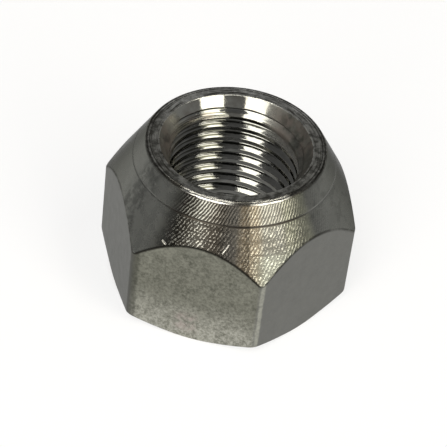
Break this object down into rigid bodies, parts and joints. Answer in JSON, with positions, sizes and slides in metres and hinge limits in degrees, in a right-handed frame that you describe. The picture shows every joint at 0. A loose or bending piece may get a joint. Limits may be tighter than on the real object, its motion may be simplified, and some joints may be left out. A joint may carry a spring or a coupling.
{
  "type": "lug nut",
  "caption": "Hexagonal wheel lug nut with a conical seat and an open threaded bore that clamps a wheel onto its stud.",
  "frame": {"origin": "centre of the base, in the plane of its flat face", "axes": "+Z along the bore towards the conical seat, Y through two opposite corners of the hexagon, X across its flats"},
  "size_m": [0.0204, 0.0232, 0.0147],
  "materials": {
    "steel": "satin plated steel, turned seat with fine tool marks"
  },
  "bodies": {
    "root": {"lug_nut": "steel"}
  },
  "joints": []
}
